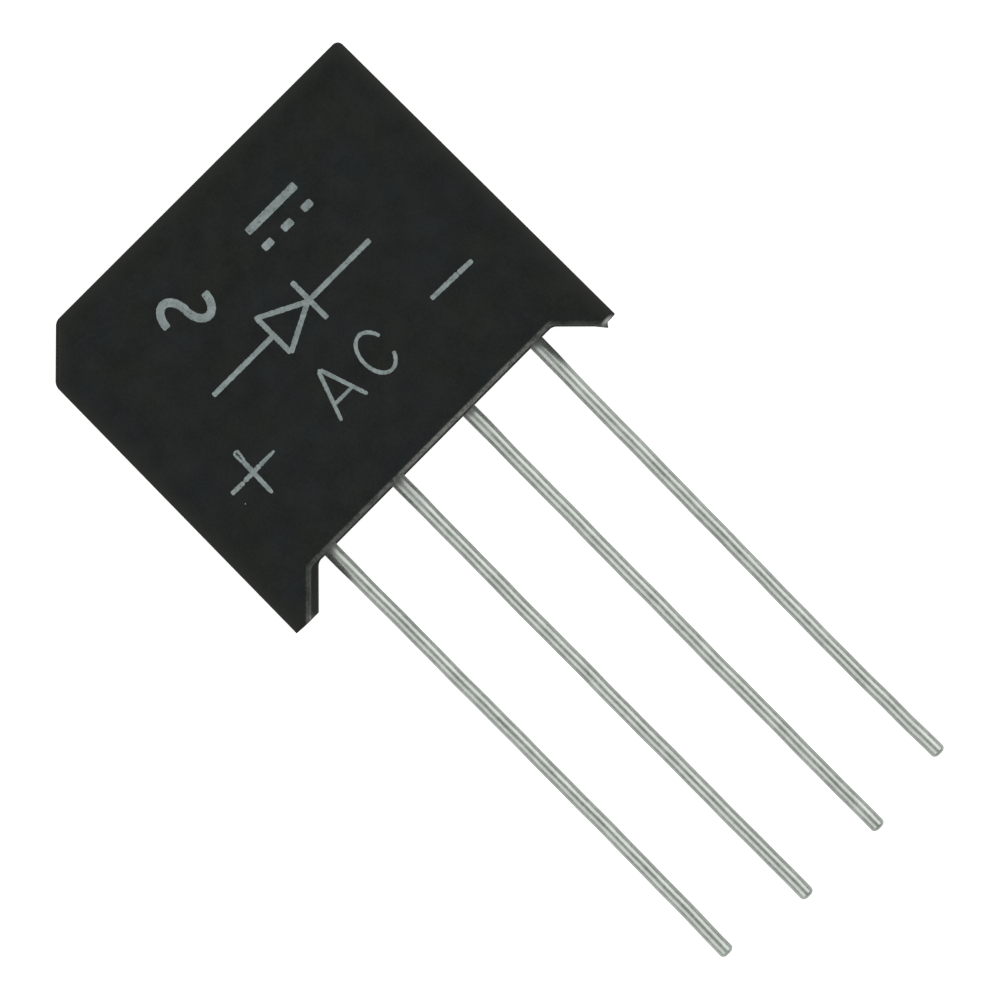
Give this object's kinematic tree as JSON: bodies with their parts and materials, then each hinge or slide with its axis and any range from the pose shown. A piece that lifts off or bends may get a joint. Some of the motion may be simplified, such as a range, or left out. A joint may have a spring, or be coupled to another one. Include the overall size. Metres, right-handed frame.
{
  "type": "bridge rectifier",
  "caption": "Potted single-phase bridge rectifier: flat black moulded cup with a chamfered corner, standoff feet and an in-line row of round tinned wire leads.",
  "frame": {"origin": "middle of the flat back face of the case, halfway between the closed top and the rim", "axes": "+Z out of the printed front, +Y towards the closed top, leads along -Y, positive corner at -X"},
  "size_m": [0.0176, 0.0367, 0.0057],
  "materials": {
    "case": "fine matte moulded black",
    "resin": "cast black resin, slightly glossy",
    "tinned_wire": "bright tin plating on round copper wire",
    "copper": "bare stamped copper",
    "silicon": "dark grey silicon",
    "solder": "dull solder"
  },
  "bodies": {
    "root": {"case_shell": "case", "potting_fill": "resin", "lead_positive": "tinned_wire", "lead_ac_left": "tinned_wire", "lead_ac_right": "tinned_wire", "lead_negative": "tinned_wire", "ac_plate_left": "copper", "ac_plate_right": "copper", "positive_strap": "copper", "negative_strap": "copper", "diode_chip_1": "silicon", "diode_chip_2": "silicon", "diode_chip_3": "silicon", "diode_chip_4": "silicon", "chip_solder_1_back": "solder", "chip_solder_2_back": "solder", "chip_solder_3_back": "solder", "chip_solder_4_back": "solder", "chip_solder_1_front": "solder", "chip_solder_2_front": "solder", "chip_solder_3_front": "solder", "chip_solder_4_front": "solder", "lead_solder_positive": "solder", "lead_solder_ac_left": "solder", "lead_solder_ac_right": "solder", "lead_solder_negative": "solder"}
  },
  "joints": []
}
